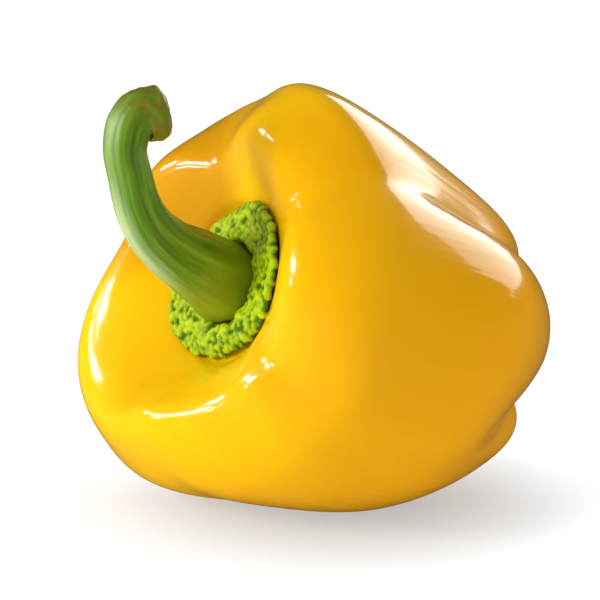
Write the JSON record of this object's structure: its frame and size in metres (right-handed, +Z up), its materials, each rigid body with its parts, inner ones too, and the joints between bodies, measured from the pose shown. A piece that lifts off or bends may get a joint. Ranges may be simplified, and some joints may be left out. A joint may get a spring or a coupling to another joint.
{
  "type": "bell pepper",
  "caption": "Yellow bell pepper lying on its side, blocky and lobed, with a granular green calyx and a ribbed green stem hooked over at its cut end.",
  "frame": {"origin": "on the ground under the middle of the whole pepper's bounding box", "axes": "+Z up from the flattened belly that the pepper rests on, -X toward the stem end, -Y toward the front lobe"},
  "size_m": [0.103, 0.0932, 0.0941],
  "materials": {
    "skin": null,
    "calyx": null,
    "stem": null
  },
  "bodies": {
    "root": {"fruit": "skin", "calyx": "calyx", "stem": "stem"}
  },
  "joints": []
}
